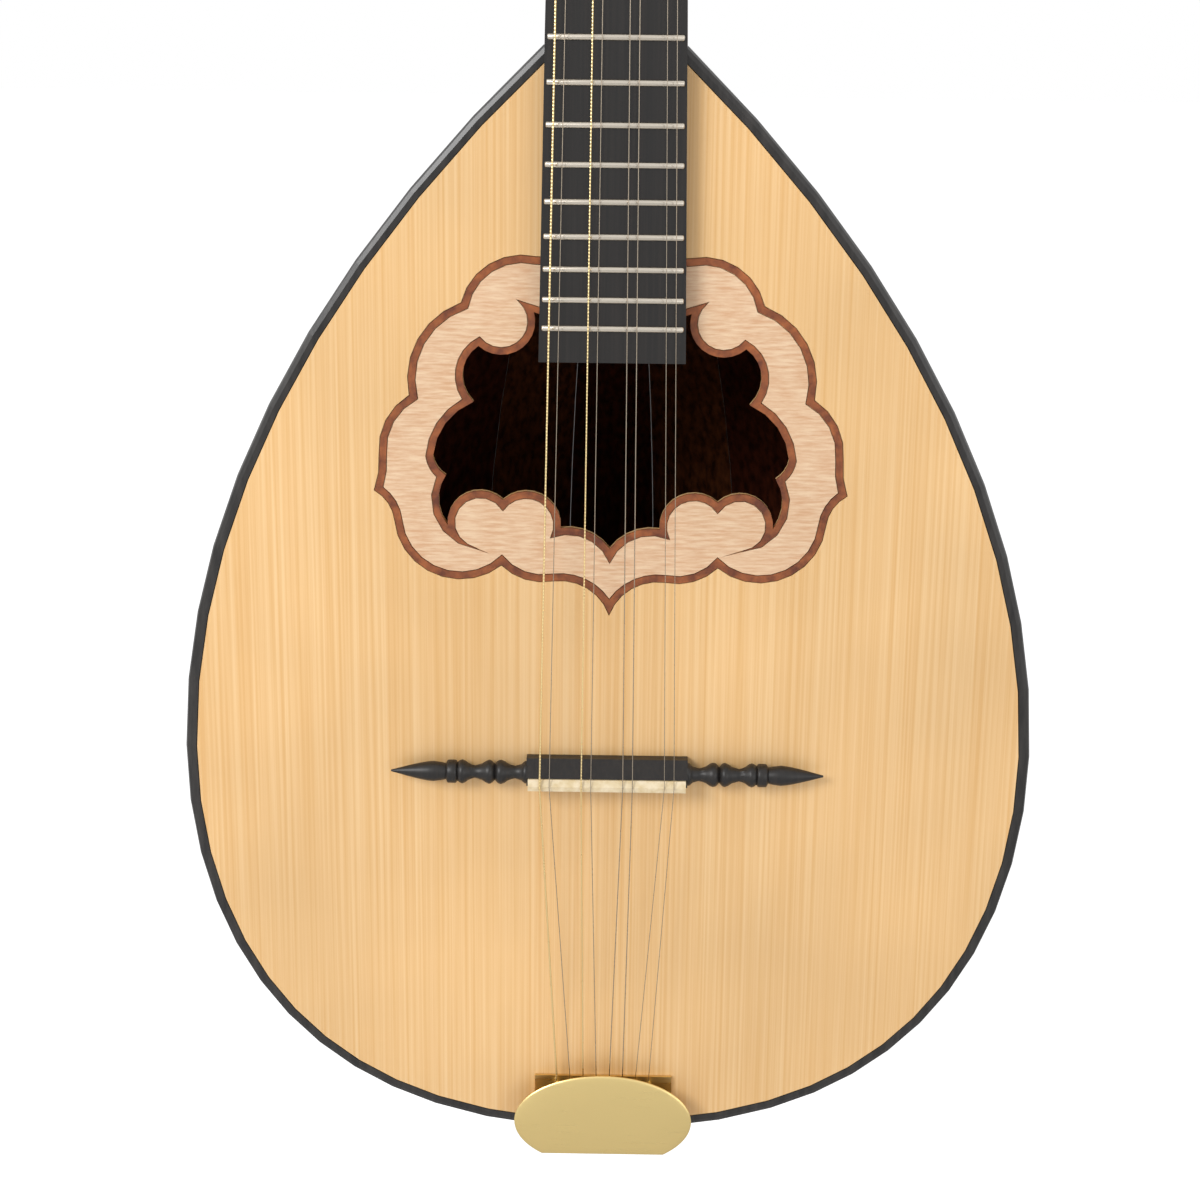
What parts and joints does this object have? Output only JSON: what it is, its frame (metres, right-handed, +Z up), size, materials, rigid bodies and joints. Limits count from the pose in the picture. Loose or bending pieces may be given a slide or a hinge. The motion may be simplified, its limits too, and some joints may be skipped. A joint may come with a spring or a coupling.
{
  "type": "bouzouki",
  "caption": "Long-necked lute with a staved round back, inlaid soundhole, floating bridge, hinged tailpiece cover and geared tuning machines.",
  "frame": {"origin": "middle of the neck's glue face for the fingerboard, at the nut", "axes": "+Z up the neck to the headstock, -Y out of the soundboard to the player's hand, +X to the right from the front"},
  "size_m": [0.3094, 0.1773, 1.0008],
  "materials": {
    "spruce": "satin lacquer",
    "inlay_wood": "satin lacquer",
    "border_wood": "satin lacquer",
    "binding": "gloss lacquer",
    "stave_dark": "gloss lacquer",
    "stave_pale": "gloss lacquer",
    "block_wood": "raw",
    "neck_wood": "satin lacquer",
    "ebony": "oiled",
    "bone": "polished bone",
    "brass": "satin",
    "nickel": "polished",
    "bronze": "wound bronze wire"
  },
  "bodies": {
    "instrument": {"soundboard": "spruce", "rosette_inlay": "inlay_wood", "rosette_outer_border": "border_wood", "rosette_inner_border": "border_wood", "edge_binding": "binding", "tail_clasp": "stave_dark", "tail_block": "block_wood", "neck_block": "block_wood", "rim_lining": "spruce", "brace_upper": "spruce", "brace_middle": "spruce", "brace_lower": "spruce", "neck": "neck_wood", "headstock_veneer": "ebony", "fingerboard": "ebony", "nut": "bone", "tailpiece_base": "brass", "tailpiece_hinge_pin": "nickel", "tuner_plate_left": "brass", "tuner_plate_right": "brass", "stave_01": "stave_dark", "stave_02": "stave_pale", "stave_03": "stave_dark", "stave_04": "stave_pale", "stave_05": "stave_dark", "stave_06": "stave_pale", "stave_07": "stave_dark", "stave_08": "stave_pale", "stave_09": "stave_dark", "stave_10": "stave_pale", "stave_11": "stave_dark", "stave_12": "stave_pale", "stave_13": "stave_dark", "string_1": "bronze", "string_2": "nickel", "string_3": "bronze", "string_4": "nickel", "string_5": "nickel", "string_6": "nickel", "string_7": "nickel", "string_8": "nickel"},
    "worm_1": {"tuner_1_worm_shaft": "nickel"},
    "post_1": {"tuner_1_post": "brass"},
    "worm_2": {"tuner_2_worm_shaft": "nickel"},
    "post_2": {"tuner_2_post": "brass"},
    "worm_3": {"tuner_3_worm_shaft": "nickel"},
    "post_3": {"tuner_3_post": "brass"},
    "worm_4": {"tuner_4_worm_shaft": "nickel"},
    "post_4": {"tuner_4_post": "brass"},
    "worm_5": {"tuner_5_worm_shaft": "nickel"},
    "post_5": {"tuner_5_post": "brass"},
    "worm_6": {"tuner_6_worm_shaft": "nickel"},
    "post_6": {"tuner_6_post": "brass"},
    "worm_7": {"tuner_7_worm_shaft": "nickel"},
    "post_7": {"tuner_7_post": "brass"},
    "worm_8": {"tuner_8_worm_shaft": "nickel"},
    "post_8": {"tuner_8_post": "brass"},
    "floating_bridge": {"bridge": "ebony", "bridge_saddle": "bone"},
    "tailpiece_lid": {"tailpiece_cover": "brass"}
  },
  "joints": [
    {"name": "worm_1_turn", "type": "hinge", "parent": "instrument", "child": "worm_1", "pos_m": [-0.021, 0.02683, 0.04868], "axis": [1, 0, 0], "continuous": true},
    {"name": "post_1_turn", "type": "hinge", "parent": "instrument", "child": "post_1", "pos_m": [-0.021, 0.00801, 0.04623], "axis": [0, 0.9816, -0.1908], "continuous": true},
    {"name": "worm_2_turn", "type": "hinge", "parent": "instrument", "child": "worm_2", "pos_m": [-0.021, 0.03293, 0.0801], "axis": [1, 0, 0], "continuous": true},
    {"name": "post_2_turn", "type": "hinge", "parent": "instrument", "child": "post_2", "pos_m": [-0.021, 0.01412, 0.07764], "axis": [0, 0.9816, -0.1908], "continuous": true},
    {"name": "worm_3_turn", "type": "hinge", "parent": "instrument", "child": "worm_3", "pos_m": [-0.021, 0.03904, 0.11151], "axis": [1, 0, 0], "continuous": true},
    {"name": "post_3_turn", "type": "hinge", "parent": "instrument", "child": "post_3", "pos_m": [-0.021, 0.02023, 0.10905], "axis": [0, 0.9816, -0.1908], "continuous": true},
    {"name": "worm_4_turn", "type": "hinge", "parent": "instrument", "child": "worm_4", "pos_m": [-0.021, 0.04515, 0.14292], "axis": [1, 0, 0], "continuous": true},
    {"name": "post_4_turn", "type": "hinge", "parent": "instrument", "child": "post_4", "pos_m": [-0.021, 0.02633, 0.14047], "axis": [0, 0.9816, -0.1908], "continuous": true},
    {"name": "worm_5_turn", "type": "hinge", "parent": "instrument", "child": "worm_5", "pos_m": [0.021, 0.02683, 0.04868], "axis": [1, 0, 0], "continuous": true},
    {"name": "post_5_turn", "type": "hinge", "parent": "instrument", "child": "post_5", "pos_m": [0.021, 0.00801, 0.04623], "axis": [0, 0.9816, -0.1908], "continuous": true},
    {"name": "worm_6_turn", "type": "hinge", "parent": "instrument", "child": "worm_6", "pos_m": [0.021, 0.03293, 0.0801], "axis": [1, 0, 0], "continuous": true},
    {"name": "post_6_turn", "type": "hinge", "parent": "instrument", "child": "post_6", "pos_m": [0.021, 0.01412, 0.07764], "axis": [0, 0.9816, -0.1908], "continuous": true},
    {"name": "worm_7_turn", "type": "hinge", "parent": "instrument", "child": "worm_7", "pos_m": [0.021, 0.03904, 0.11151], "axis": [1, 0, 0], "continuous": true},
    {"name": "post_7_turn", "type": "hinge", "parent": "instrument", "child": "post_7", "pos_m": [0.021, 0.02023, 0.10905], "axis": [0, 0.9816, -0.1908], "continuous": true},
    {"name": "worm_8_turn", "type": "hinge", "parent": "instrument", "child": "worm_8", "pos_m": [0.021, 0.04515, 0.14292], "axis": [1, 0, 0], "continuous": true},
    {"name": "post_8_turn", "type": "hinge", "parent": "instrument", "child": "post_8", "pos_m": [0.021, 0.02633, 0.14047], "axis": [0, 0.9816, -0.1908], "continuous": true},
    {"name": "bridge_shift", "type": "slide", "parent": "instrument", "child": "floating_bridge", "axis": [0, 0, 1], "range_m": [-0.003, 0.003]},
    {"name": "cover_hinge", "type": "hinge", "parent": "instrument", "child": "tailpiece_lid", "pos_m": [0, -0.003, -0.8182], "axis": [1, 0, 0], "range_deg": [0, 110]}
  ],
  "couplings": [
    {"joint": "post_1_turn", "follows": "worm_1_turn", "ratio": -0.071429},
    {"joint": "post_2_turn", "follows": "worm_2_turn", "ratio": -0.071429},
    {"joint": "post_3_turn", "follows": "worm_3_turn", "ratio": -0.071429},
    {"joint": "post_4_turn", "follows": "worm_4_turn", "ratio": -0.071429},
    {"joint": "post_5_turn", "follows": "worm_5_turn", "ratio": -0.071429},
    {"joint": "post_6_turn", "follows": "worm_6_turn", "ratio": -0.071429},
    {"joint": "post_7_turn", "follows": "worm_7_turn", "ratio": -0.071429},
    {"joint": "post_8_turn", "follows": "worm_8_turn", "ratio": -0.071429}
  ]
}
